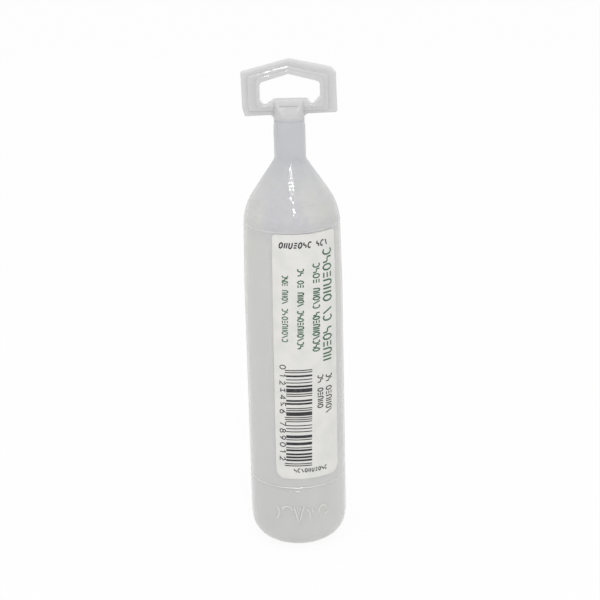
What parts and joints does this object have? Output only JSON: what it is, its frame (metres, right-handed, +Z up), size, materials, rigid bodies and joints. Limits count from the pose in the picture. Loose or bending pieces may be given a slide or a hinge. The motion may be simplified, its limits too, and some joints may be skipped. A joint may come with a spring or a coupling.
{
  "type": "ampoule",
  "caption": "Sealed soft plastic ampoule of saline: round body, conical shoulder, narrow tear-off neck, flat tab with a hanging hole, paper label.",
  "frame": {"origin": "on the axis of the body, in the plane of the foot ring that it stands on", "axes": "+Z up the axis towards the tab; the broad face of the tab and the label face -Y; +X to the right of someone who faces the label"},
  "size_m": [0.0178, 0.0179, 0.0918],
  "materials": {
    "milky_plastic": "milky, translucent, soft low-density polyethylene, satin to glossy",
    "saline": "clear colourless liquid",
    "label_paper": "matt white paper with dark green and black print"
  },
  "bodies": {
    "root": {"ampoule": "milky_plastic", "saline": "saline", "label": "label_paper"}
  },
  "joints": []
}
